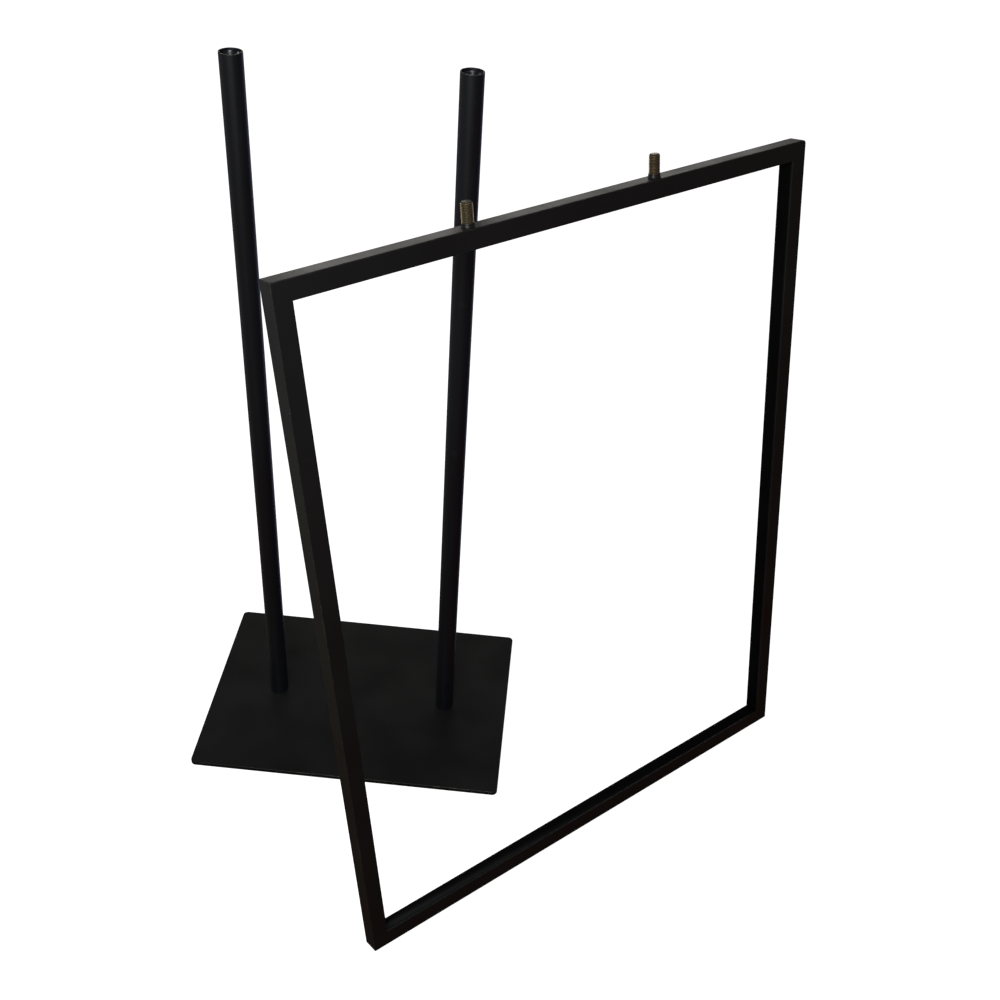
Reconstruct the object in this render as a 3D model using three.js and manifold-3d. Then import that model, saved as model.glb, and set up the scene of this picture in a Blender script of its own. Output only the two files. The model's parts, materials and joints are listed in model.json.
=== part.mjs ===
// Knock-down sign stand for a gallery floor, shown taken apart: the base with its two posts stands upright,
// and the sign frame stands on its edge beside it, leaning back.  Millimetres, +Z up.
// The origin is the middle of the base plate's underside.  X runs along the sign frame's bottom bar.
import * as THREE from 'three';
import { mergeVertices } from 'three/addons/utils/BufferGeometryUtils.js';
import Module from 'manifold-3d';

// ---------------------------------------------------------------- driving dimensions
const GAP = 0.3; // left between pieces that touch

const { degToRad } = THREE.MathUtils;
const BASE = { width: 420, depth: 315, thick: 6, corner: 7, chamfer: 0.5, turn: degToRad(-42.5) };
const POST = { radius: 12.5, wall: 1.5, top: 888, spacing: 241, rim: 0.35 };
const INSERT = { length: 30, recess: 2.2, funnelRadius: 9.6, funnelDepth: 4, boreRadius: 6.15 };
const PLUG = { length: 33, shoulder: 3, boreRadius: 5.2, boreDepth: 25 };
const SCREW = { radius: 4.8, headRadius: 9.6, recess: 0.5, reach: 20, socketRadius: 3.4, socketDepth: 3 };
const FRAME = { width: 684, height: 808, bar: 20, wall: 1.5, edge: 1, lean: degToRad(11) };
const FRAME_FOOT = { x: 121, y: -348 }; // middle of the back edge that the frame stands on
const STUD = { radius: 6, length: 23.6, tip: 1.6, collarRadius: 7.1, collarHeight: 3.9 };
const STUD_OFFSET = -4; // the pair of studs is this far off the middle of the top bar

const ROUND = 36; // sides of a turned piece

// ---------------------------------------------------------------- finishes
const finish = (color, roughness, metalness) => () =>
  new THREE.MeshStandardMaterial({ color, roughness, metalness });
const blackPowderCoat = finish(0x17171a, 0.55, 0.3);
const blackTube = finish(0x14151a, 0.45, 0.35);
const zincYellow = finish(0x9a8656, 0.35, 0.9);
const darkSteel = finish(0x2b2b2e, 0.35, 0.9);

// ---------------------------------------------------------------- solids
const wasm = await Module();
wasm.setup();

function closed(geometry) {
  const bare = geometry.clone();
  bare.deleteAttribute('normal');
  bare.deleteAttribute('uv');
  return mergeVertices(bare, 1e-4);
}

function toSolid(geometry) {
  const merged = closed(geometry);
  const vertProperties = new Float32Array(merged.attributes.position.array);
  const triVerts = new Uint32Array(merged.index.array);
  return new wasm.Manifold(new wasm.Mesh({ numProp: 3, vertProperties, triVerts }));
}

function fromSolid(solid) {
  const { vertProperties, triVerts } = solid.getMesh();
  const geometry = new THREE.BufferGeometry();
  geometry.setAttribute('position', new THREE.BufferAttribute(new Float32Array(vertProperties), 3));
  geometry.setIndex(new THREE.BufferAttribute(new Uint32Array(triVerts), 1));
  geometry.computeVertexNormals();
  return geometry;
}

function cut(geometry, ...cutters) {
  return fromSolid(cutters.reduce((solid, cutter) => solid.subtract(toSolid(cutter)), toSolid(geometry)));
}

// A piece turned about Z.  The outline is [radius, height] pairs, anticlockwise, on the axis or closed.
function turned(outline, sides = ROUND) {
  const points = outline.map(([radius, height]) => new THREE.Vector2(radius, height));
  return new THREE.LatheGeometry(points, sides).rotateX(Math.PI / 2);
}

function named(name, geometry, material) {
  const mesh = new THREE.Mesh(geometry, material());
  mesh.name = name;
  return mesh;
}

// ---------------------------------------------------------------- base
function roundedPlate({ width, depth, thick, corner, chamfer }) {
  const outline = new THREE.Shape();
  const x = width / 2;
  const y = depth / 2;
  outline.moveTo(corner - x, -y);
  outline.lineTo(x - corner, -y);
  outline.absarc(x - corner, corner - y, corner, -Math.PI / 2, 0);
  outline.lineTo(x, y - corner);
  outline.absarc(x - corner, y - corner, corner, 0, Math.PI / 2);
  outline.lineTo(corner - x, y);
  outline.absarc(corner - x, y - corner, corner, Math.PI / 2, Math.PI);
  outline.lineTo(-x, corner - y);
  outline.absarc(corner - x, corner - y, corner, Math.PI, 1.5 * Math.PI);
  const plate = new THREE.ExtrudeGeometry(outline, {
    depth: thick - 2 * chamfer, bevelEnabled: true, bevelSegments: 1,
    bevelSize: chamfer, bevelOffset: -chamfer, bevelThickness: chamfer, curveSegments: 6,
  });
  return plate.translate(0, 0, chamfer);
}

const postX = { left: -POST.spacing / 2, right: POST.spacing / 2 };
const sides = Object.keys(postX);

// Screw hole with its countersink, open to the underside of the plate.
function screwHole(x) {
  const clear = SCREW.radius + 2 * GAP;
  const mouth = SCREW.headRadius + GAP + SCREW.recess;
  const deep = mouth - clear;
  return turned([[0, -1], [mouth + 1, -1], [clear, deep], [clear, BASE.thick + 1], [0, BASE.thick + 1]])
    .translate(x, 0, 0);
}

// Countersunk socket screw: its flat head is just inside the underside, its shank goes up into the post.
function baseScrew() {
  const low = SCREW.recess;
  const cone = SCREW.headRadius - SCREW.radius;
  const tip = BASE.thick + SCREW.reach;
  const body = turned([
    [0, low], [SCREW.headRadius, low], [SCREW.radius, low + cone], [SCREW.radius, tip - 1],
    [SCREW.radius - 1, tip], [0, tip],
  ]);
  const socket = new THREE.CylinderGeometry(SCREW.socketRadius, SCREW.socketRadius, 2 * SCREW.socketDepth, 6)
    .rotateX(Math.PI / 2)
    .translate(0, 0, low);
  return cut(body, socket);
}

const stand = new THREE.Group();
stand.rotation.z = BASE.turn;
const drilledPlate = cut(roundedPlate(BASE), ...sides.map((side) => screwHole(postX[side])));
stand.add(named('base_plate', drilledPlate, blackPowderCoat));

// ---------------------------------------------------------------- posts
function postTube() {
  const inner = POST.radius - POST.wall;
  const foot = BASE.thick + 2 * GAP + PLUG.shoulder;
  const { radius, top, rim } = POST;
  return turned([
    [inner, foot], [radius, foot], [radius, top - rim], [radius - rim, top],
    [inner + rim, top], [inner, top - rim], [inner, foot],
  ]);
}

// Threaded bush held just inside the post's top, with a funnel that guides the frame's stud in.
function topInsert() {
  const outer = POST.radius - POST.wall - GAP;
  const top = POST.top - INSERT.recess;
  const low = top - INSERT.length;
  return turned([
    [INSERT.boreRadius, low], [outer, low], [outer, top], [INSERT.funnelRadius, top],
    [INSERT.boreRadius, top - INSERT.funnelDepth], [INSERT.boreRadius, low],
  ]);
}

// Solid plug in the post's foot, drilled from below for the base screw.  Its shoulder closes the tube's end.
function footPlug() {
  const outer = POST.radius - POST.wall - GAP;
  const low = BASE.thick + GAP;
  const seat = low + PLUG.shoulder;
  return turned([
    [PLUG.boreRadius, low], [POST.radius, low], [POST.radius, seat], [outer, seat],
    [outer, low + PLUG.length], [0, low + PLUG.length], [0, low + PLUG.boreDepth],
    [PLUG.boreRadius, low + PLUG.boreDepth - 2], [PLUG.boreRadius, low],
  ]);
}

for (const side of sides) {
  const post = new THREE.Group();
  post.position.x = postX[side];
  post.add(
    named(`post_${side}`, postTube(), blackTube),
    named(`post_top_insert_${side}`, topInsert(), darkSteel),
    named(`post_foot_plug_${side}`, footPlug(), blackTube),
    named(`base_screw_${side}`, baseScrew(), darkSteel),
  );
  stand.add(post);
}

// ---------------------------------------------------------------- sign frame
// Section of the U-shaped channel: x across the frame's depth, y from the outer face in to the open side.
function channelSection({ bar, wall, edge }) {
  const section = new THREE.Shape();
  section.moveTo(edge, 0);
  section.lineTo(bar - edge, 0);
  section.absarc(bar - edge, edge, edge, -Math.PI / 2, 0);
  section.lineTo(bar, bar);
  section.lineTo(bar - wall, bar);
  section.lineTo(bar - wall, wall);
  section.lineTo(wall, wall);
  section.lineTo(wall, bar);
  section.lineTo(0, bar);
  section.lineTo(0, edge);
  section.absarc(edge, edge, edge, Math.PI, 1.5 * Math.PI);
  return section;
}

// One bar with its two ends mitred, lying along X below the frame's centre, open side up.
function channelBar(length, halfAcross) {
  const bar = new THREE.ExtrudeGeometry(channelSection(FRAME), {
    depth: 1, bevelEnabled: false, curveSegments: 4,
  });
  const mitre = GAP / Math.SQRT2;
  const place = bar.attributes.position;
  for (let i = 0; i < place.count; i++) {
    const across = place.getX(i);
    const inward = place.getY(i);
    const end = place.getZ(i) > 0.5 ? 1 : -1;
    place.setXYZ(i, end * (length / 2 - mitre - inward), across - FRAME.bar / 2, inward - halfAcross);
  }
  return bar;
}

const frameCentre = new THREE.Group();
frameCentre.position.set(0, -FRAME.bar / 2, FRAME.height / 2);

const studX = { left: STUD_OFFSET + postX.left, right: STUD_OFFSET + postX.right };
const halfHeight = FRAME.height / 2;
const halfWidth = FRAME.width / 2;
const studHole = turned([[0, -3], [STUD.radius + GAP, -3], [STUD.radius + GAP, 3], [0, 3]]);
// The top bar is the bottom bar turned over, so its holes are cut at the bottom, left for right.
const studHoles = sides.map((side) => studHole.clone().translate(-studX[side], 0, -halfHeight));
const bars = {
  frame_bottom_bar: { geometry: channelBar(FRAME.width, halfHeight), turn: 0 },
  frame_left_bar: { geometry: channelBar(FRAME.height, halfWidth), turn: Math.PI / 2 },
  frame_top_bar: { geometry: cut(channelBar(FRAME.width, halfHeight), ...studHoles), turn: Math.PI },
  frame_right_bar: { geometry: channelBar(FRAME.height, halfWidth), turn: -Math.PI / 2 },
};
for (const [name, { geometry, turn }] of Object.entries(bars)) {
  const mesh = named(name, geometry, blackPowderCoat);
  mesh.rotation.y = turn;
  frameCentre.add(mesh);
}

// Stud through the top bar's outer wall, and the painted weld fillet round its foot.
function stud() {
  const { radius, length, tip } = STUD;
  return turned([
    [0, -FRAME.wall], [radius, -FRAME.wall], [radius, length - tip], [radius - tip, length], [0, length],
  ]);
}

function studCollar() {
  const inner = STUD.radius + GAP;
  const { collarRadius, collarHeight } = STUD;
  return turned([
    [inner, GAP], [collarRadius, GAP], [collarRadius - 0.3, collarHeight / 2],
    [inner + 0.3, collarHeight], [inner, collarHeight], [inner, GAP],
  ]);
}

for (const side of sides) {
  const place = new THREE.Group();
  place.position.set(studX[side], 0, halfHeight);
  place.add(
    named(`stud_${side}`, stud(), zincYellow),
    named(`stud_collar_${side}`, studCollar(), blackPowderCoat),
  );
  frameCentre.add(place);
}

// The frame stands on the back edge of its bottom bar and leans back from it.
const frame = new THREE.Group();
frame.position.set(FRAME_FOOT.x, FRAME_FOOT.y, 0);
frame.rotation.x = -FRAME.lean;
frame.add(frameCentre);

const group = new THREE.Group();
group.add(stand, frame);

export default group;
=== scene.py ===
"""Finished model of a knock-down sign stand: steel base, two tube posts and a mitred frame with studs.

The base with its posts stands upright.  The sign frame stands beside it on its bottom edge and leans back.
Each piece is modelled on the bench, about its own middle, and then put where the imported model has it.
"""
import json
import math

import bmesh
import bpy
from bpy.props import FloatProperty, FloatVectorProperty, PointerProperty
from mathutils import Matrix, Vector


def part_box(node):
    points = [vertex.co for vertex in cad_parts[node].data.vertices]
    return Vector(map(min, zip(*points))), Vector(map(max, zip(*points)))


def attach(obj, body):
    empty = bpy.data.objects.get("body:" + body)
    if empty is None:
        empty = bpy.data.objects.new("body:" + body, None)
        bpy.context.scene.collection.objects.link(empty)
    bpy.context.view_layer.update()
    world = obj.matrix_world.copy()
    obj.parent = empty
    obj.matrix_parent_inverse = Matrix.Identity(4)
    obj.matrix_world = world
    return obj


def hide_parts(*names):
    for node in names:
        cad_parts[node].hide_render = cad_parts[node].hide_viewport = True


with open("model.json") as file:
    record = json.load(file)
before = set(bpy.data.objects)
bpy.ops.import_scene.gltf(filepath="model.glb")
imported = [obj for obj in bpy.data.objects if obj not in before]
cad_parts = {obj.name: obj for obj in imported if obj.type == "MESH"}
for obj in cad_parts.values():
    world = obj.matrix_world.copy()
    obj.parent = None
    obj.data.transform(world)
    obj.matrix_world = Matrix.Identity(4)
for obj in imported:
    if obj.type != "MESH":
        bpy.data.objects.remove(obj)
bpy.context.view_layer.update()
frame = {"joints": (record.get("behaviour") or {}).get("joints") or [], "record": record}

bl_info = {
    "name": "Knock-down sign stand",
    "version": (1, 0, 0),
    "blender": (4, 5, 0),
    "location": "View3D > Sidebar > Sign stand",
    "description": "Builds a steel floor stand with a loose sign frame, and a pale studio round it",
    "category": "Add Mesh",
}

MM = 0.001
FIT = 1.5 * MM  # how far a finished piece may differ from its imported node
GAP = 0.3 * MM  # left between pieces that touch
TOUCH = 0.02 * MM  # points closer than this are at the same place
SIDES = {"left": -1, "right": 1}  # and the way each lies along a row
JOINTS = {joint["name"]: joint for joint in frame["joints"]}
MOUNTS = {mount["name"]: mount for mount in frame["record"]["mounts"]}


# ---------------------------------------------------------------- places, from the frame
def post_axis(side):
    """The point where a post's axis meets the floor."""
    x, y, _ = JOINTS[f"post_{side}_turn"]["pos_m"]
    return Vector((x, y, 0))


POST_ROW = post_axis("right") - post_axis("left")
BASE_PLACE = Matrix.Rotation(math.atan2(POST_ROW.y, POST_ROW.x), 4, "Z")
PLATE_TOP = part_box("base_plate")[1].z
POST_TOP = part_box("post_left")[1].z
POST_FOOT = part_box("post_foot_plug_left")[0].z
PANEL_SEATS = [Vector(MOUNTS[f"panel_seat_{side}"]["pos_m"]) for side in SIDES]
FRAME_MIDDLE = (PANEL_SEATS[0] + PANEL_SEATS[1]) / 2
FRAME_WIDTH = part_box("frame_right_bar")[1].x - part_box("frame_left_bar")[0].x
BAR_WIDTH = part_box("frame_left_bar")[1].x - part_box("frame_left_bar")[0].x


# ---------------------------------------------------------------- sizes and finishes that can be changed
def length(name, description, default):
    """A length in metres, shown in the scene's own unit."""
    return FloatProperty(name=name, description=description, default=default, min=0, unit="LENGTH",
                         precision=5)


def turn(name, description, default):
    """An angle in radians, shown in the scene's own unit."""
    return FloatProperty(name=name, description=description, default=default, subtype="ANGLE")


def tint(name, description, default):
    """A linear colour."""
    return FloatVectorProperty(name=name, description=description, default=default, size=3, min=0, max=1,
                               subtype="COLOR")


class SIGNSTAND_PG_base(bpy.types.PropertyGroup):
    """Base plate and the screws that hold the posts to it."""

    width: length("Width", "Along the row of posts", 420 * MM)
    depth: length("Depth", "Across the row of posts", 315 * MM)
    corner: length("Corner radius", "Radius of the plate's four corners", 7 * MM)
    edge: length("Edge radius", "Softening of the plate's rims", 0.7 * MM)
    screw_radius: length("Screw radius", "Shank of the base screws", 4.8 * MM)
    head_radius: length("Head radius", "Countersunk head of the base screws", 9.6 * MM)
    socket_radius: length("Socket radius", "Hexagon socket, from its middle to a corner", 3.4 * MM)
    socket_depth: length("Socket depth", "Hexagon socket, from the head's face", 3 * MM)


class SIGNSTAND_PG_posts(bpy.types.PropertyGroup):
    """Tube posts with their inserts and plugs."""

    radius: length("Radius", "Outside of the tube", 12.5 * MM)
    wall: length("Wall", "Thickness of the tube", 1.5 * MM)
    rim: length("Rim radius", "Softening of the tube's top rim", 0.4 * MM)
    recess: length("Insert recess", "How far the insert sits below the rim", 2.2 * MM)
    insert: length("Insert length", "Threaded insert", 30 * MM)
    funnel: length("Funnel radius", "Wide end of the insert's lead-in", 9.6 * MM)
    plug: length("Plug length", "Plug in the foot, with its shoulder", 33 * MM)
    shoulder: length("Plug shoulder", "Height of the plug's shoulder", 3 * MM)


class SIGNSTAND_PG_frame(bpy.types.PropertyGroup):
    """Sign frame of mitred channel."""

    width: length("Width", "Outside of the frame", FRAME_WIDTH)
    height: length("Height", "Outside of the frame", 808 * MM)
    bar: length("Bar", "Side of the square channel", BAR_WIDTH)
    wall: length("Wall", "Thickness of the channel", 1.5 * MM)
    edge: length("Edge radius", "Outer edges of the channel", 1.0 * MM)
    corner: length("Corner radius", "Outer corners, ground flush after welding", 1.2 * MM)
    worn_corner: length("Worn corner radius", "Top right corner, knocked rounder than the rest", 4.2 * MM)
    lip: length("Lip radius", "Softening of the channel's lips", 0.35 * MM)
    lean: turn("Lean", "How far the frame leans back", math.radians(11))


class SIGNSTAND_PG_studs(bpy.types.PropertyGroup):
    """Threaded studs and the weld round their feet."""

    radius: length("Radius", "Over the thread", 6 * MM)
    height: length("Height", "Above the bar", 23.6 * MM)
    tip: length("Tip", "Chamfer on the stud's end", 1.6 * MM)
    pitch: length("Pitch", "Of the thread", 1.5 * MM)
    depth: length("Thread depth", "From crest to root", 0.85 * MM)
    weld_radius: length("Weld radius", "Foot of the weld fillet", 7.1 * MM)
    weld_height: length("Weld height", "Top of the weld fillet", 3.9 * MM)
    offset: FloatProperty(name="Offset", description="Of the pair from the middle of the bar",
                          default=-4 * MM, unit="LENGTH")


class SIGNSTAND_PG_finishes(bpy.types.PropertyGroup):
    """Colours of the finishes."""

    coat: tint("Powder coat", "Frame, plate and welds", (0.0122, 0.0118, 0.0115))
    tube: tint("Tube paint", "Posts", (0.0092, 0.0100, 0.0138))
    # The worn colour is also what edges are lightened towards, as a painted highlight.
    rubbed: tint("Rubbed edge", "Primer and steel that show where the paint is worn", (0.085, 0.078, 0.064))
    zinc: tint("Yellow zinc", "Studs", (0.74, 0.56, 0.32))
    steel: tint("Dark steel", "Inserts and screws", (0.20, 0.20, 0.21))
    floor: tint("Floor", "Studio floor", (0.90, 0.90, 0.90))


class SIGNSTAND_PG_camera(bpy.types.PropertyGroup):
    """Where the viewer stands."""

    place: FloatVectorProperty(name="Place", description="The camera's place", size=3, unit="LENGTH",
                               default=(-0.6793, -1.0674, 1.2703))
    azimuth: turn("Azimuth", "From +Y towards +X", 0.70016)
    pitch: turn("Pitch", "Above the horizon", -0.70448)
    roll: turn("Roll", "About the line of sight", 0.06998)
    lens: FloatProperty(name="Lens", description="Focal length in millimetres", default=43.917)
    shift_x: FloatProperty(name="Shift X", description="Of the lens, sideways", default=0.0156)
    shift_y: FloatProperty(name="Shift Y", description="Of the lens, upwards", default=0.0999)


# ---------------------------------------------------------------- bench tools
def clear_selection():
    """Leaves object mode on with nothing selected."""
    if bpy.context.object and bpy.context.object.mode != "OBJECT":
        bpy.ops.object.mode_set(mode="OBJECT")
    bpy.ops.object.select_all(action="DESELECT")


def pick_up(piece):
    """Makes a piece the only selected one, and the active one."""
    clear_selection()
    piece.select_set(True)
    bpy.context.view_layer.objects.active = piece


def block(name, size, middle=(0, 0, 0)):
    """A cuboid to start a piece or a cutter from."""
    clear_selection()
    bpy.ops.mesh.primitive_cube_add(size=1, location=middle)
    piece = bpy.context.object
    piece.name = name
    piece.scale = size
    bpy.ops.object.transform_apply(location=True, rotation=True, scale=True)
    return piece


def rod(middle, radius, height, sides):
    """An upright round or many-sided cutter."""
    clear_selection()
    bpy.ops.mesh.primitive_cylinder_add(vertices=sides, radius=radius, depth=height, location=middle)
    return bpy.context.object


def edit(piece, kind):
    """Goes into edit mode on a piece with nothing selected."""
    pick_up(piece)
    bpy.ops.object.mode_set(mode="EDIT")
    bpy.ops.mesh.select_mode(type=kind)
    bpy.ops.mesh.select_all(action="DESELECT")


def choose(piece, kind, test):
    """Selects the edges, faces or vertices that pass a test, in edit mode."""
    edit(piece, kind)
    mesh = bmesh.from_edit_mesh(piece.data)
    parts = {"VERT": mesh.verts, "EDGE": mesh.edges, "FACE": mesh.faces}[kind]
    chosen = [part for part in parts if test(part)]
    for part in chosen:
        part.select_set(True)
    bmesh.update_edit_mesh(piece.data)
    if not chosen:
        raise RuntimeError(f"{piece.name}: nothing was chosen")


def ends_where(test):
    """A test for an edge whose two ends and middle all pass the test."""
    return lambda edge: all(test(point) for point in (
        edge.verts[0].co, edge.verts[1].co, (edge.verts[0].co + edge.verts[1].co) / 2))


def near(value, target):
    """Whether a coordinate is where it should be."""
    return abs(value - target) < TOUCH


def round_edges(piece, test, radius, segments=3, material=-1):
    """Bevels the edges that pass a test, and gives the new faces a material slot."""
    choose(piece, "EDGE", test)
    bpy.ops.mesh.bevel(offset=radius, offset_type="OFFSET", segments=segments, profile=0.5, affect="EDGES",
                       clamp_overlap=False, material=material)
    bpy.ops.object.mode_set(mode="OBJECT")


def saw(piece, point, normal):
    """Cuts off all that lies on the side of a plane that its normal points to, and closes the cut."""
    edit(piece, "FACE")
    bpy.ops.mesh.select_all(action="SELECT")
    bpy.ops.mesh.bisect(plane_co=point, plane_no=normal, use_fill=True, clear_outer=True, clear_inner=False)
    bpy.ops.object.mode_set(mode="OBJECT")


def combine(piece, tool, operation):
    """Cuts a piece by a tool, joins them or keeps what they share, and throws the tool away."""
    pick_up(piece)
    modifier = piece.modifiers.new(operation.title(), "BOOLEAN")
    modifier.operation = operation
    modifier.solver = "EXACT"
    modifier.object = tool
    bpy.ops.object.modifier_apply(modifier=modifier.name)
    bpy.data.objects.remove(tool)


def tidy(piece):
    """Merges doubles and points every face outwards."""
    edit(piece, "VERT")
    bpy.ops.mesh.select_all(action="SELECT")
    bpy.ops.mesh.remove_doubles(threshold=0.002 * MM)
    bpy.ops.mesh.normals_make_consistent(inside=False)
    bpy.ops.object.mode_set(mode="OBJECT")


def draw_outline(name, outline):
    """A line through (radius, height) points beside the Z axis, drawn from one vertex, left in edit mode."""
    clear_selection()
    bpy.ops.mesh.primitive_plane_add(size=1 * MM, location=(0, 0, 0))
    piece = bpy.context.object
    piece.name = name
    edit(piece, "VERT")
    bpy.ops.mesh.select_all(action="SELECT")
    bpy.ops.mesh.merge(type="CENTER")
    bpy.ops.mesh.select_all(action="SELECT")
    radius, height = outline[0]
    bpy.ops.transform.translate(value=(radius, 0, height))
    for next_radius, next_height in outline[1:]:
        step = (next_radius - radius, 0, next_height - height)
        bpy.ops.mesh.extrude_vertices_move(TRANSFORM_OT_translate={"value": step})
        radius, height = next_radius, next_height
    return piece


def turn_on_lathe(name, outline, steps, closed=False):
    """A piece turned about Z from (radius, height) points; a closed outline makes a ring."""
    piece = draw_outline(name, outline)
    if closed:
        ends = [Vector((radius, 0, height)) for radius, height in (outline[0], outline[-1])]
        choose(piece, "VERT", lambda vertex: min((vertex.co - end).length for end in ends) < TOUCH)
        bpy.ops.mesh.edge_face_add()
    bpy.ops.mesh.select_all(action="SELECT")
    bpy.ops.mesh.spin(steps=steps, angle=2 * math.pi, center=(0, 0, 0), axis=(0, 0, 1))
    bpy.ops.object.mode_set(mode="OBJECT")
    tidy(piece)
    return piece


def cut_thread(name, radius, depth, pitch, low, high, steps):
    """A threaded rod along Z from low to high, with flat crests and roots, closed at both ends."""
    root = radius - depth
    start = low - 2 * pitch
    bolt = draw_outline(name, [(root, start), (root, start + 0.25 * pitch), (radius, start + 0.56 * pitch),
                               (radius, start + 0.69 * pitch), (root, start + pitch)])
    pick_up(bolt)
    screw = bolt.modifiers.new("Thread", "SCREW")
    screw.axis = "Z"
    screw.angle = 2 * math.pi
    screw.screw_offset = pitch
    screw.iterations = math.ceil((high - low) / pitch) + 4
    screw.steps = steps
    screw.render_steps = steps
    screw.use_merge_vertices = True
    screw.merge_threshold = 0.001 * MM
    bpy.ops.object.modifier_apply(modifier=screw.name)
    saw(bolt, (0, 0, high), (0, 0, 1))
    saw(bolt, (0, 0, low), (0, 0, -1))
    tidy(bolt)
    return bolt


def copy_of(piece, name):
    """A copy with a mesh of its own."""
    pick_up(piece)
    bpy.ops.object.duplicate(linked=False)
    copy = bpy.context.object
    copy.name = name
    return copy


def paint(piece, *finishes):
    """Fills the piece's material slots in order."""
    piece.data.materials.clear()
    for finish in finishes:
        piece.data.materials.append(finish)


def put(piece, place, body, node, smooth=35):
    """Puts a finished piece where its CAD node is, and lets it stand for that node."""
    pick_up(piece)
    bpy.ops.object.shade_smooth_by_angle(angle=math.radians(smooth))
    flats = piece.modifiers.new("Even flats", "WEIGHTED_NORMAL")
    flats.weight = 100
    flats.keep_sharp = True
    bpy.ops.object.modifier_apply(modifier=flats.name)
    piece.matrix_world = place
    bpy.ops.object.transform_apply(location=True, rotation=True, scale=True)
    worst = 0
    for axis, low, high in zip(range(3), *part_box(node)):
        reach = [corner[axis] for corner in piece.bound_box]
        worst = max(worst, abs(min(reach) - low), abs(max(reach) - high))
    if worst > FIT:
        raise RuntimeError(f"{piece.name} is {worst / MM:.2f} mm away from {node}")
    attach(piece, body)
    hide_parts(node)
    clear_selection()


# ---------------------------------------------------------------- finishes
DUST = (0.075, 0.073, 0.070)
HANDLING_MARK = (0.07, 0.07, 0.072)
ROSE = (0.62, 0.36, 0.26)
GREEN_GOLD = (0.50, 0.54, 0.27)
# Dark colour for grime patches on the studs, and for the painted shade in their thread roots.
THREAD_GRIME_AND_ROOT_SHADE = (0.022, 0.015, 0.009)


class Nodes:
    """Shader nodes of one tree, added and wired one after another."""

    def __init__(self, tree):
        self.tree = tree
        self.tree.nodes.clear()

    def add(self, kind, **settings):
        """A new node of a kind, with its own settings."""
        node = self.tree.nodes.new(f"ShaderNode{kind}")
        for name, value in settings.items():
            setattr(node, name, value)
        return node

    def feed(self, socket, value):
        """Wires a socket to another, or sets it to a number, a vector or a colour."""
        if isinstance(value, bpy.types.NodeSocket):
            self.tree.links.new(value, socket)
        elif socket.type == "RGBA":
            socket.default_value = (*value, 1)
        else:
            socket.default_value = value

    def ranged(self, value, low, high, to_low=0.0, to_high=1.0, smooth=False):
        """A value between low and high, carried over to another range and held inside it."""
        node = self.add("MapRange", interpolation_type="SMOOTHSTEP" if smooth else "LINEAR")
        given = {"Value": value, "From Min": low, "From Max": high, "To Min": to_low, "To Max": to_high}
        for name, number_or_socket in given.items():
            self.feed(node.inputs[name], number_or_socket)
        return node.outputs["Result"]

    def calc(self, operation, first, second=0.0):
        """A sum of two values, each a number or a socket."""
        node = self.add("Math", operation=operation)
        self.feed(node.inputs[0], first)
        self.feed(node.inputs[1], second)
        return node.outputs["Value"]

    def blend(self, share, first, second):
        """A colour between two, each a colour or a socket."""
        node = self.add("Mix", data_type="RGBA")
        self.feed(node.inputs["Factor"], share)
        colours = [socket for socket in node.inputs if socket.type == "RGBA"]
        self.feed(colours[0], first)
        self.feed(colours[1], second)
        return next(socket for socket in node.outputs if socket.type == "RGBA")


class Finish(Nodes):
    """Nodes of one material on one shader, in the piece's own place."""

    def __init__(self, name):
        self.material = bpy.data.materials.new(name)
        self.material.use_nodes = True
        super().__init__(self.material.node_tree)
        self.output = self.add("OutputMaterial")
        self.shader = self.add("BsdfPrincipled")
        self.feed(self.output.inputs["Surface"], self.shader.outputs["BSDF"])
        self.where = self.add("TexCoord").outputs["Object"]

    def mapped(self, location=(0, 0, 0), rotation=(0, 0, 0), scale=(1, 1, 1)):
        """The piece's own place, moved, turned or stretched."""
        node = self.add("Mapping")
        given = {"Vector": self.where, "Location": location, "Rotation": rotation, "Scale": scale}
        for name, value in given.items():
            self.feed(node.inputs[name], value)
        return node.outputs["Vector"]

    def grain(self, scale, detail=2, roughness=0.5, distortion=0, vector=None):
        """Noise over the piece, in its own place or in a mapped one."""
        node = self.add("TexNoise")
        given = {"Vector": vector or self.where, "Scale": scale, "Detail": detail, "Roughness": roughness,
                 "Distortion": distortion}
        for name, value in given.items():
            self.feed(node.inputs[name], value)
        return node.outputs["Fac"]

    def specks(self, scale, size):
        """1 inside small round specks, fading to 0 at their rims."""
        node = self.add("TexVoronoi")
        self.feed(node.inputs["Vector"], self.where)
        self.feed(node.inputs["Scale"], scale)
        return self.ranged(node.outputs["Distance"], 0, size, 1, 0)

    def relief(self, height, distance, strength, under=None):
        """The surface's direction over a relief, on top of another relief if there is one."""
        node = self.add("Bump")
        self.feed(node.inputs["Strength"], strength)
        self.feed(node.inputs["Distance"], distance)
        self.feed(node.inputs["Height"], height)
        if under is not None:
            self.feed(node.inputs["Normal"], under)
        return node.outputs["Normal"]

    def done(self, **values):
        """Gives the shader its values, and gives back the material."""
        names = {"colour": "Base Color", "roughness": "Roughness", "metallic": "Metallic",
                 "normal": "Normal", "specular": "Specular IOR Level"}
        for key, value in values.items():
            self.feed(self.shader.inputs[names[key]], value)
        return self.material


def shade(colour, factor):
    """A colour made darker or lighter."""
    return tuple(min(1.0, channel * factor) for channel in colour)


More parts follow.
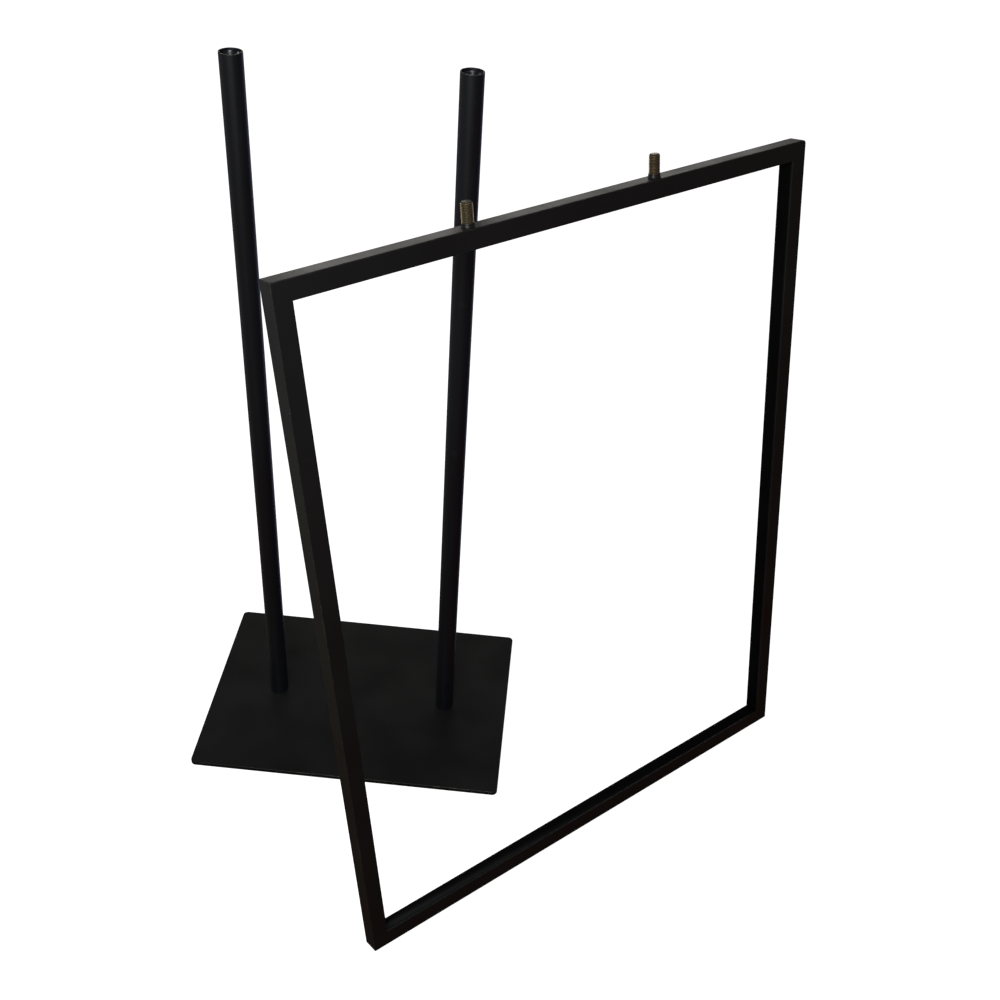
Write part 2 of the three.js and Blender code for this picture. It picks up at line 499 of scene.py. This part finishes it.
def powder_coat(name, colour, gloss=0.46, sheen=0.5):
    """Satin black powder coat: fine orange peel, cloudy sheen, dust nibs and a few rubbed streaks."""
    coat = Finish(name)
    cloud = coat.ranged(coat.grain(9, 3), 0.35, 0.65)
    body = coat.blend(cloud, shade(colour, 0.86), shade(colour, 1.16))
    nibs = coat.calc("MULTIPLY", coat.specks(210, 0.045), coat.ranged(coat.grain(23, 1), 0.58, 0.66))
    brushed = coat.mapped(rotation=(0.2, 0.3, 0.9), scale=(0.6, 14, 3))
    rubbed = coat.ranged(coat.grain(30, 4, 0.7, vector=brushed), 0.66, 0.74, 0, 0.5, smooth=True)
    dusty = coat.blend(coat.calc("MAXIMUM", nibs, coat.calc("MULTIPLY", rubbed, 0.35)), body, DUST)
    peel, tooth = coat.grain(620), coat.grain(2600, 1)
    rough = coat.ranged(coat.grain(16, 4), 0.3, 0.7, gloss - 0.05, gloss + 0.07)
    rough = coat.calc("ADD", rough, coat.ranged(tooth, 0.3, 0.7, -0.04, 0.04))
    rough = coat.calc("SUBTRACT", rough, coat.calc("MULTIPLY", rubbed, 0.12))
    normal = coat.relief(tooth, 0.03 * MM, 0.35, coat.relief(peel, 0.08 * MM, 0.30))
    return coat.done(colour=dusty, roughness=rough, normal=normal, specular=sheen)


def worn_and_highlighted_edge(name, colour, under, wear):
    """The same paint along an edge, lightened all along as a painted highlight, and worn by handling so that
    primer and steel show in places.
    """
    edge = Finish(name)
    patchy = edge.ranged(edge.grain(7), 0.3, 0.7, -0.14, 0.14)
    start = 0.62 - 0.3 * wear
    bare = edge.ranged(edge.calc("ADD", edge.grain(70, 4, 0.7), patchy), start, start + 0.12, smooth=True)
    # Painted highlight: every edge face is 1.15 times lighter than the coat, and is blended up to 0.22
    # towards the worn colour.
    edge_highlight = edge.ranged(edge.grain(300, 3), 0.3, 0.7, 0, 0.22)
    share = edge.calc("MINIMUM", edge.calc("ADD", bare, edge_highlight), 1)
    return edge.done(
        colour=edge.blend(share, shade(colour, 1.15), under), roughness=edge.ranged(share, 0, 1, 0.40, 0.30),
        metallic=edge.ranged(bare, 0, 1, 0, 0.6), normal=edge.relief(edge.grain(900), 0.06 * MM, 0.3))


def tube_paint(name, colour, axis):
    """Painted tube: faint lines along it from drawing, fine peel and handling marks."""
    tube = Finish(name)
    along = tube.mapped(location=(-axis.x, -axis.y, 0), scale=(1, 1, 0.02))
    lines = tube.grain(420, 2, 0.6, vector=along)
    cloud = tube.grain(7, 3, vector=tube.mapped(scale=(1, 1, 0.5)))
    body = tube.blend(tube.ranged(cloud, 0.35, 0.65), shade(colour, 0.85), shade(colour, 1.15))
    bare_spots = tube.ranged(tube.grain(21, 1), 0.60, 0.67)
    nibs = tube.calc("MULTIPLY", tube.specks(230, 0.045), bare_spots)
    smears = tube.grain(26, 5, 0.7, vector=tube.mapped(scale=(1, 1, 2.5)))
    hands = tube.ranged(smears, 0.60, 0.72, smooth=True)
    marks = tube.calc("MAXIMUM", nibs, tube.calc("MULTIPLY", hands, 0.10))
    rough = tube.calc("ADD", tube.ranged(lines, 0.3, 0.7, 0.43, 0.51), tube.calc("MULTIPLY", hands, 0.06))
    peel = tube.relief(tube.grain(650), 0.07 * MM, 0.28, tube.relief(lines, 0.03 * MM, 0.25))
    return tube.done(colour=tube.blend(marks, body, HANDLING_MARK), roughness=rough, normal=peel)


def yellow_zinc(name, colour, place, root, crest):
    """Yellow passivated zinc: brassy crests with rose and green bloom, dark grime in patches, and painted
    shade in the thread roots.
    """
    zinc = Finish(name)
    home = place.inverted()
    split = zinc.add("SeparateXYZ")
    zinc.feed(split.inputs["Vector"], zinc.mapped(location=home.translation, rotation=home.to_euler()))
    squared = [zinc.calc("MULTIPLY", split.outputs[axis], split.outputs[axis]) for axis in "XY"]
    radius = zinc.calc("SQRT", zinc.calc("ADD", *squared))
    # Painted shade: the colour darkens towards the thread roots, by distance from the stud's axis alone.
    towards_crest = zinc.ranged(radius, root + 0.25 * (crest - root), crest, smooth=True)
    bloom = zinc.ranged(zinc.grain(160, distortion=0.6), 0.38, 0.62)
    tarnish = zinc.ranged(zinc.grain(90), 0.35, 0.65, 0.15, 0.55)
    body = zinc.blend(tarnish, colour, zinc.blend(bloom, ROSE, GREEN_GOLD))
    patch = zinc.ranged(zinc.grain(240, 4, 0.65), 0.52, 0.70, 0, 0.5, smooth=True)
    grime_and_root_shade = zinc.calc("MAXIMUM", patch, zinc.ranged(towards_crest, 0, 1, 0.88, 0))
    return zinc.done(
        colour=zinc.blend(grime_and_root_shade, body, THREAD_GRIME_AND_ROOT_SHADE), metallic=zinc.ranged(grime_and_root_shade, 0, 1, 1, 0.3),
        roughness=zinc.ranged(zinc.grain(500, 3), 0.3, 0.7, 0.26, 0.42),
        normal=zinc.relief(zinc.grain(1800), 0.04 * MM, 0.4))


def turned_steel(name, colour, axis, rough):
    """Dark steel off the lathe: fine rings about its own axis, with a blued, oily patchiness."""
    steel = Finish(name)
    centred = steel.mapped(location=(-axis.x, -axis.y, 0))
    wave = steel.add("TexWave", wave_type="RINGS", rings_direction="Z")
    for socket, value in (("Vector", centred), ("Scale", 900), ("Distortion", 1.5), ("Detail", 2)):
        steel.feed(wave.inputs[socket], value)
    rings = wave.outputs["Fac"]
    oily = steel.ranged(steel.grain(130, 3, 0.6, vector=centred), 0.4, 0.62, smooth=True)
    return steel.done(
        colour=steel.blend(oily, colour, shade(colour, 0.45)), metallic=1,
        roughness=steel.calc("ADD", steel.ranged(oily, 0, 1, rough, rough + 0.14),
                             steel.ranged(rings, 0, 1, -0.04, 0.04)),
        normal=steel.relief(rings, 0.02 * MM, 0.5))


def studio_floor(name, colour):
    """Seamless pale floor that keeps its tone and still takes a soft shadow."""
    floor = Finish(name)
    mottled = floor.blend(floor.ranged(floor.grain(3, 3), 0.3, 0.7), shade(colour, 0.995), colour)
    floor.done(colour=mottled, roughness=0.9, specular=0.1)
    glow = floor.add("Emission")
    floor.feed(glow.inputs["Strength"], 0.97)
    both = floor.add("AddShader")
    floor.feed(both.inputs[0], floor.shader.outputs["BSDF"])
    floor.feed(both.inputs[1], glow.outputs["Emission"])
    floor.feed(floor.output.inputs["Surface"], both.outputs["Shader"])
    return floor.material


# ---------------------------------------------------------------- pieces
def is_level_rim(edge):
    """Whether an edge runs round the top or the underside of an upright-walled piece."""
    level = edge.verts[0].co.z == edge.verts[1].co.z
    return level and any(abs(face.normal.z) > 0.9 for face in edge.link_faces)


def frame_place(context):
    """Where the sign frame's middle is, leaning back."""
    lean = context.scene.signstand_frame.lean
    return Matrix.Translation(FRAME_MIDDLE) @ Matrix.Rotation(-lean, 4, "X")


def stud_foot(context, side):
    """Where a stud meets the top bar's outer face, from the frame's middle."""
    across = context.scene.signstand_studs.offset + SIDES[side] * POST_ROW.length / 2
    return Vector((across, 0, context.scene.signstand_frame.height / 2))


class SIGNSTAND_OT_base_plate(bpy.types.Operator):
    """Flat steel base plate with soft rims and two countersunk holes underneath"""

    bl_idname = "signstand.base_plate"
    bl_label = "Base plate"

    def execute(self, context):
        size, colours = context.scene.signstand_base, context.scene.signstand_finishes
        plate = block("painted_base_plate", (size.width, size.depth, PLATE_TOP), (0, 0, PLATE_TOP / 2))
        # Painted light: the plate's coat is the shared black coat made 1.45 times lighter, standing in for
        # the light that falls on the plate.
        paint(plate, powder_coat("plate_coat_lightened_as_painted_light", shade(colours.coat, 1.45), 0.36, 0.32),
              worn_and_highlighted_edge("plate_rubbed_edge", colours.coat, colours.rubbed, 0.55))
        wide, deep = size.width / 2, size.depth / 2
        round_edges(plate, ends_where(lambda point: near(abs(point.x), wide) and near(abs(point.y), deep)),
                    size.corner, 8)
        round_edges(plate, is_level_rim, size.edge, 3, material=1)
        clear = size.screw_radius + 2 * GAP
        mouth = size.head_radius + 0.8 * MM
        past = 1 * MM
        for side in SIDES:
            drill = turn_on_lathe("drill", [(0, -past), (mouth + past, -past), (clear, mouth - clear),
                                            (clear, PLATE_TOP + past), (0, PLATE_TOP + past)], 48)
            drill.location = BASE_PLACE.inverted() @ post_axis(side)
            combine(plate, drill, "DIFFERENCE")
        put(plate, BASE_PLACE, "base", "base_plate")
        return {"FINISHED"}


class SIGNSTAND_OT_base_screws(bpy.types.Operator):
    """Countersunk socket screws that hold the posts to the plate from below"""

    bl_idname = "signstand.base_screws"
    bl_label = "Base screws"

    def execute(self, context):
        size, colours = context.scene.signstand_base, context.scene.signstand_finishes
        for side in SIDES:
            node = f"base_screw_{side}"
            low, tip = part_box(node)[0].z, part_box(node)[1].z
            cone_top = low + size.head_radius - size.screw_radius
            neck = cone_top + 1 * MM
            screw = turn_on_lathe(f"socket_screw_{side}", [
                (0, low), (size.head_radius, low), (size.screw_radius, cone_top),
                (size.screw_radius, neck), (0, neck)], 48)
            shank = cut_thread("shank", size.screw_radius, depth=0.6 * MM, pitch=1.25 * MM,
                               low=cone_top + 0.5 * MM, high=tip, steps=32)
            combine(screw, shank, "UNION")
            combine(screw, rod((0, 0, low), size.socket_radius, size.socket_depth * 2, 6), "DIFFERENCE")
            paint(screw, turned_steel(f"screw_steel_{side}", colours.steel, post_axis(side), 0.34))
            put(screw, Matrix.Translation(post_axis(side)) @ BASE_PLACE, node, node)
        return {"FINISHED"}


class SIGNSTAND_OT_posts(bpy.types.Operator):
    """Round tube posts, open at the top, with a rim worn to primer and steel in places and lightened as a
    painted highlight
    """

    bl_idname = "signstand.posts"
    bl_label = "Posts"

    def execute(self, context):
        size, colours = context.scene.signstand_posts, context.scene.signstand_finishes
        inner, outer, rim = size.radius - size.wall, size.radius, size.rim
        foot = POST_FOOT + size.shoulder
        bend = [math.radians(degrees) for degrees in (0, 30, 60, 90)]
        outside = [(outer - rim + rim * math.cos(a), POST_TOP - rim + rim * math.sin(a)) for a in bend]
        inside = [(inner + rim - rim * math.sin(a), POST_TOP - rim + rim * math.cos(a)) for a in bend]
        for side in SIDES:
            outline = [(inner, foot), (outer, foot), *outside, *inside]
            post = turn_on_lathe(f"painted_post_{side}", outline, 96, closed=True)
            axis = post_axis(side)
            paint(post, tube_paint(f"post_paint_{side}", colours.tube, axis),
                  worn_and_highlighted_edge(f"post_worn_and_highlighted_rim_{side}", colours.tube, colours.rubbed, 0.85))
            # The rim faces take the worn edge finish: bare steel in places, and a painted highlight all
            # round.
            choose(post, "FACE", lambda face: face.calc_center_median().z > POST_TOP - rim)
            post.active_material_index = 1
            bpy.ops.object.material_slot_assign()
            bpy.ops.object.mode_set(mode="OBJECT")
            put(post, Matrix.Translation(axis), f"post_{side}", f"post_{side}")
        return {"FINISHED"}


class SIGNSTAND_OT_post_inserts(bpy.types.Operator):
    """Threaded inserts in the tops of the posts, with a funnel that leads the stud in"""

    bl_idname = "signstand.post_inserts"
    bl_label = "Post inserts"

    def execute(self, context):
        size, colours = context.scene.signstand_posts, context.scene.signstand_finishes
        studs = context.scene.signstand_studs
        outer = size.radius - size.wall - GAP
        top = POST_TOP - size.recess
        low = top - size.insert
        bore = studs.radius - studs.depth + 0.1 * MM
        throat = size.funnel - bore
        for side in SIDES:
            insert = turn_on_lathe(f"threaded_insert_{side}", [
                (bore, low), (outer, low), (outer, top), (size.funnel, top),
                (bore + 0.9 * MM, top - 0.75 * throat), (bore, top - throat)], 72, closed=True)
            tap = cut_thread("tap", studs.radius + 0.12 * MM, studs.depth, studs.pitch,
                             low=low - 2 * MM, high=top - 0.6 * throat, steps=40)
            combine(insert, tap, "DIFFERENCE")
            axis = post_axis(side)
            paint(insert, turned_steel(f"insert_steel_{side}", colours.steel, axis, 0.22))
            put(insert, Matrix.Translation(axis), f"post_{side}", f"post_top_insert_{side}")
        return {"FINISHED"}


class SIGNSTAND_OT_foot_plugs(bpy.types.Operator):
    """Plugs in the feet of the posts, ground flush with the tube and painted with it"""

    bl_idname = "signstand.foot_plugs"
    bl_label = "Foot plugs"

    def execute(self, context):
        size, colours = context.scene.signstand_posts, context.scene.signstand_finishes
        screw = context.scene.signstand_base.screw_radius
        outer = size.radius - size.wall - GAP
        low, seat = POST_FOOT, POST_FOOT + size.shoulder
        top = low + size.plug
        bore, chamfer = screw + 0.4 * MM, 0.25 * MM
        for side in SIDES:
            plug = turn_on_lathe(f"foot_plug_turned_{side}", [
                (bore, low), (size.radius - chamfer, low), (size.radius, low + chamfer),
                (size.radius, seat), (outer, seat), (outer, top - 1 * MM), (outer - 1 * MM, top), (0, top),
                (0, top - 8 * MM), (bore, top - 10 * MM)], 96)
            choose(plug, "EDGE", lambda edge: edge.is_boundary)
            bpy.ops.mesh.bridge_edge_loops()
            bpy.ops.object.mode_set(mode="OBJECT")
            tidy(plug)
            axis = post_axis(side)
            paint(plug, tube_paint(f"plug_paint_{side}", colours.tube, axis))
            put(plug, Matrix.Translation(axis), f"post_{side}", f"post_foot_plug_{side}")
        return {"FINISHED"}


class SIGNSTAND_OT_frame_bars(bpy.types.Operator):
    """Sign frame: one ring of channel with ground corners, sawn into four mitred bars"""

    bl_idname = "signstand.frame_bars"
    bl_label = "Frame bars"

    def execute(self, context):
        size, colours = context.scene.signstand_frame, context.scene.signstand_finishes
        stud_radius = context.scene.signstand_studs.radius
        wide, high, deep = size.width / 2, size.height / 2, size.bar / 2
        ring = block("ring", (size.width, size.bar, size.height))
        # The outer edges take the worn edge finish, lightened all along as a painted highlight.
        paint(ring, powder_coat("frame_powder_coat", colours.coat),
              worn_and_highlighted_edge("frame_rubbed_edge", colours.coat, colours.rubbed, 0.12))
        corners = {(x, z): (size.corner, 5) for x in (-1, 1) for z in (-1, 1)}
        corners[1, 1] = (size.worn_corner, 8)
        for (x, z), (radius, segments) in corners.items():
            round_edges(ring, ends_where(lambda point: near(point.x, x * wide) and near(point.z, z * high)),
                        radius, segments)
        for face in (-deep, deep):
            round_edges(ring, ends_where(lambda point: near(point.y, face)), size.edge, 4, material=1)
        opening = block("opening", (size.width - 2 * size.bar, 4 * size.bar, size.height - 2 * size.bar))
        combine(ring, opening, "DIFFERENCE")
        groove = block("groove", [side - 2 * size.wall for side in (size.width, size.bar, size.height)])
        combine(ring, groove, "DIFFERENCE")
        lip_x, lip_z = wide - size.bar + TOUCH, high - size.bar + TOUCH
        for face in (-deep, deep):
            round_edges(ring, ends_where(lambda point: near(point.y, face) and abs(point.x) < lip_x
                                         and abs(point.z) < lip_z), size.lip, 2)
        ends_of = {"bottom": ((-1, -1), (1, -1)), "left": ((-1, -1), (-1, 1)), "top": ((-1, 1), (1, 1)),
                   "right": ((1, -1), (1, 1))}
        for name, ends in ends_of.items():
            bar = copy_of(ring, f"channel_{name}_bar")
            across = name in ("bottom", "top")
            for x, z in ends:
                corner = Vector((x * wide, 0, z * high))
                outwards = Vector((x, 0, -z)) if across else Vector((-x, 0, z))
                saw(bar, corner, outwards)
            if name == "top":
                for side in SIDES:
                    drill = rod(stud_foot(context, side), stud_radius + GAP / 2, 8 * MM, 48)
                    combine(bar, drill, "DIFFERENCE")
            put(bar, frame_place(context), "sign_frame", f"frame_{name}_bar")
        bpy.data.objects.remove(ring)
        return {"FINISHED"}


class SIGNSTAND_OT_studs(bpy.types.Operator):
    """Threaded studs in yellow zinc, with a chamfered end"""

    bl_idname = "signstand.studs"
    bl_label = "Studs"

    def execute(self, context):
        size, colours = context.scene.signstand_studs, context.scene.signstand_finishes
        low = -context.scene.signstand_frame.wall
        past = 0.2 * MM
        for side in SIDES:
            stud = cut_thread(f"zinc_stud_{side}", size.radius, size.depth, size.pitch,
                              low=low - 1 * MM, high=size.height + 1 * MM, steps=64)
            chamfered = turn_on_lathe("chamfered", [
                (0, low), (size.radius - 0.6 * MM, low), (size.radius + past, low + 0.6 * MM + past),
                (size.radius + past, size.height - size.tip - past),
                (size.radius - size.tip, size.height), (0, size.height)], 64)
            combine(stud, chamfered, "INTERSECT")
            place = frame_place(context) @ Matrix.Translation(stud_foot(context, side))
            paint(stud, yellow_zinc(f"stud_zinc_{side}", colours.zinc, place,
                                    root=size.radius - size.depth, crest=size.radius))
            put(stud, place, "sign_frame", f"stud_{side}", smooth=40)
        return {"FINISHED"}


class SIGNSTAND_OT_stud_collars(bpy.types.Operator):
    """Painted weld fillets round the feet of the studs, slightly uneven as a weld is"""

    bl_idname = "signstand.stud_collars"
    bl_label = "Stud collars"

    def execute(self, context):
        size, colours = context.scene.signstand_studs, context.scene.signstand_finishes
        inner, foot, top = size.radius + 0.05 * MM, size.weld_radius, size.weld_height
        shoulder = inner + 0.25 * MM
        low, toe, crown = 0.02 * MM, 0.5 * MM, 0.7 * MM
        bend = [math.radians(degrees) for degrees in range(0, 91, 15)]
        rise = top - toe - crown
        flare = [(foot - (foot - shoulder) * math.sin(angle), toe + rise * (1 - math.cos(angle)))
                 for angle in bend]
        for side in SIDES:
            outline = [(inner, low), (foot, low), *flare, (shoulder - 0.15 * MM, top), (inner, top)]
            collar = turn_on_lathe(f"weld_collar_{side}", outline, 64, closed=True)
            ripple = bpy.data.textures.new(f"weld_ripple_{side}", "CLOUDS")
            ripple.noise_scale = 2.2 * MM
            uneven = collar.modifiers.new("Uneven", "DISPLACE")
            uneven.texture = ripple
            uneven.texture_coords = "LOCAL"
            uneven.strength = 0.5 * MM
            uneven.mid_level = 0.62
            pick_up(collar)
            bpy.ops.object.modifier_apply(modifier=uneven.name)
            paint(collar, powder_coat(f"weld_powder_coat_{side}", colours.coat, 0.36))
            place = frame_place(context) @ Matrix.Translation(stud_foot(context, side))
            put(collar, place, "sign_frame", f"stud_collar_{side}", smooth=60)
        return {"FINISHED"}


# ---------------------------------------------------------------- stage
FRONT_TONES = ((0.0, (0.032, 0.009, 0.001)), (0.30, (0.046, 0.014, 0.002)), (0.46, (0.060, 0.036, 0.034)),
               (0.60, (0.12, 0.12, 0.13)), (1.0, (0.06, 0.06, 0.065)))
BACK_TONES = ((0.0, (0.026, 0.006, 0.000)), (0.11, (0.038, 0.010, 0.000)), (0.17, (0.070, 0.045, 0.018)),
              (0.25, (0.19, 0.205, 0.195)), (0.40, (0.22, 0.24, 0.235)), (0.62, (0.030, 0.029, 0.028)),
              (1.0, (0.036, 0.035, 0.036)))
WHITE = (1, 1, 1)


def soft_panel(name, place, aim, size, power, colour):
    """A soft box at a place, aimed at a point."""
    light = bpy.data.lights.new(name, "AREA")
    light.shape = "RECTANGLE"
    light.size, light.size_y = size
    light.energy = power
    light.color = colour
    lamp = bpy.data.objects.new(name, light)
    lamp.visible_camera = False
    lamp.location = place
    lamp.rotation_euler = (Vector(aim) - Vector(place)).to_track_quat("-Z", "Y").to_euler()
    bpy.context.scene.collection.objects.link(lamp)


class Room(Nodes):
    """Nodes of the room round the stand: dim colours by height, which only reflections and bounces see."""

    def __init__(self, world):
        super().__init__(world.node_tree)
        split = self.add("SeparateXYZ")
        self.feed(split.inputs["Vector"], self.add("TexCoord").outputs["Generated"])
        self.x, self.y, self.z = (split.outputs[axis] for axis in "XYZ")

    def tones(self, by_height):
        """Colours from straight down, at 0, to straight up, at 1."""
        node = self.add("ValToRGB")
        self.feed(node.inputs["Fac"], self.ranged(self.z, -1, 1))
        stops = node.color_ramp.elements
        while len(stops) < len(by_height):
            stops.new(0.5)
        for stop, (height, colour) in zip(stops, by_height):
            stop.position = height
            stop.color = (*colour, 1)
        return node.outputs["Color"]

    def patch(self, under, azimuth, width, heights, colour):
        """Light that lies low in one direction, which shows as a streak in upright tubes."""
        flat = self.add("CombineXYZ")
        self.feed(flat.inputs["X"], self.x)
        self.feed(flat.inputs["Y"], self.y)
        unit = self.add("VectorMath", operation="NORMALIZE")
        self.feed(unit.inputs[0], flat.outputs["Vector"])
        towards = self.add("VectorMath", operation="DOT_PRODUCT")
        self.feed(towards.inputs[0], unit.outputs["Vector"])
        self.feed(towards.inputs[1], (math.sin(azimuth), math.cos(azimuth), 0))
        low, low_full, high_full, high = heights
        share = self.ranged(towards.outputs["Value"], math.cos(width), math.cos(width / 2), smooth=True)
        for dark, bright in ((low, low_full), (high, high_full)):
            share = self.calc("MULTIPLY", share, self.ranged(self.z, dark, bright, smooth=True))
        return self.blend(share, under, colour)

    def background(self, colour):
        """Even light of a colour from all round."""
        node = self.add("Background")
        self.feed(node.inputs["Color"], colour)
        return node.outputs["Background"]


def studio_world():
    """Even white behind everything, and a dim room for reflections: brown floor in front, greyer behind."""
    world = bpy.data.worlds.new("studio")
    bpy.context.scene.world = world
    world.use_nodes = True
    room = Room(world)
    dim = room.blend(room.ranged(room.y, -0.15, 0.45), room.tones(FRONT_TONES), room.tones(BACK_TONES))
    cool = room.patch(dim, math.radians(66), math.radians(24), (-0.85, -0.60, -0.26, -0.10),
                      (0.42, 0.50, 0.82))
    warm = room.patch(cool, math.radians(240), math.radians(40), (-0.60, -0.35, 0.0, 0.15),
                      (0.15, 0.13, 0.10))
    seen = room.add("MixShader")
    room.feed(seen.inputs["Fac"], room.add("LightPath").outputs["Is Camera Ray"])
    room.feed(seen.inputs[1], room.background(warm))
    room.feed(seen.inputs[2], room.background(WHITE))
    room.feed(room.add("OutputWorld").inputs["Surface"], seen.outputs["Shader"])


class SIGNSTAND_OT_stage(bpy.types.Operator):
    """Pale floor, soft lights and the camera"""

    bl_idname = "signstand.stage"
    bl_label = "Stage"

    def execute(self, context):
        scene = context.scene
        view = scene.signstand_camera
        scene.view_settings.view_transform = "Standard"
        clear_selection()
        bpy.ops.mesh.primitive_plane_add(size=60, location=(0, 0, -0.2 * MM))
        floor = bpy.context.object
        floor.name = "studio_floor"
        floor.data.materials.append(studio_floor("pale_floor", scene.signstand_finishes.floor))
        floor.visible_glossy = False
        floor.visible_diffuse = False
        clear_selection()
        studio_world()
        soft_panel("key", place=(-0.76, -0.76, 1.16), aim=(-0.05, -0.15, 0.60), size=(0.4, 0.4),
                   power=4.8, colour=(0.88, 0.95, 1.0))
        soft_panel("wall_behind", place=(3.4, 5.2, 1.25), aim=(0.1, -0.2, 0.8), size=(4.6, 1.3),
                   power=43, colour=(1.0, 0.965, 0.91))
        soft_panel("back_fill", place=(-1.8, 3.2, 2.4), aim=(0.1, -0.1, 0.45), size=(1.5, 1.5),
                   power=14, colour=(1.0, 0.98, 0.95))
        soft_panel("ceiling", place=(-0.3, -0.6, 3.0), aim=(-0.1, -0.1, 0.9), size=(0.6, 0.6),
                   power=5, colour=(0.9, 0.95, 1.0))
        lens = bpy.data.cameras.new("viewer")
        lens.sensor_width = 36
        lens.lens = view.lens
        lens.shift_x = view.shift_x
        lens.shift_y = view.shift_y
        camera = bpy.data.objects.new("viewer", lens)
        facing = Matrix.Rotation(-view.azimuth, 4, "Z") @ Matrix.Rotation(math.pi / 2 + view.pitch, 4, "X")
        camera.matrix_world = Matrix.Translation(view.place) @ facing @ Matrix.Rotation(view.roll, 4, "Z")
        scene.collection.objects.link(camera)
        scene.camera = camera
        return {"FINISHED"}


# ---------------------------------------------------------------- add-on
STEPS = (SIGNSTAND_OT_base_plate, SIGNSTAND_OT_base_screws, SIGNSTAND_OT_posts, SIGNSTAND_OT_post_inserts,
         SIGNSTAND_OT_foot_plugs, SIGNSTAND_OT_frame_bars, SIGNSTAND_OT_studs, SIGNSTAND_OT_stud_collars,
         SIGNSTAND_OT_stage)
GROUPS = {"base": SIGNSTAND_PG_base, "posts": SIGNSTAND_PG_posts, "frame": SIGNSTAND_PG_frame,
          "studs": SIGNSTAND_PG_studs, "finishes": SIGNSTAND_PG_finishes, "camera": SIGNSTAND_PG_camera}


class SIGNSTAND_PT_panel(bpy.types.Panel):
    """Lists the steps that build the stand"""

    bl_label = "Sign stand"
    bl_space_type = "VIEW_3D"
    bl_region_type = "UI"
    bl_category = "Sign stand"

    def draw(self, context):
        for step in STEPS:
            self.layout.operator(step.bl_idname)


def register():
    for group in (*GROUPS.values(), *STEPS, SIGNSTAND_PT_panel):
        bpy.utils.register_class(group)
    for name, group in GROUPS.items():
        setattr(bpy.types.Scene, f"signstand_{name}", PointerProperty(type=group))


def unregister():
    for name in GROUPS:
        delattr(bpy.types.Scene, f"signstand_{name}")
    for group in (SIGNSTAND_PT_panel, *reversed(STEPS), *reversed(GROUPS.values())):
        bpy.utils.unregister_class(group)


def main():
    register()
    for step in STEPS:
        family, name = step.bl_idname.split(".")
        if getattr(getattr(bpy.ops, family), name)() != {"FINISHED"}:
            raise RuntimeError(f"{step.bl_label} was not finished")


if __name__ == "__main__":
    main()
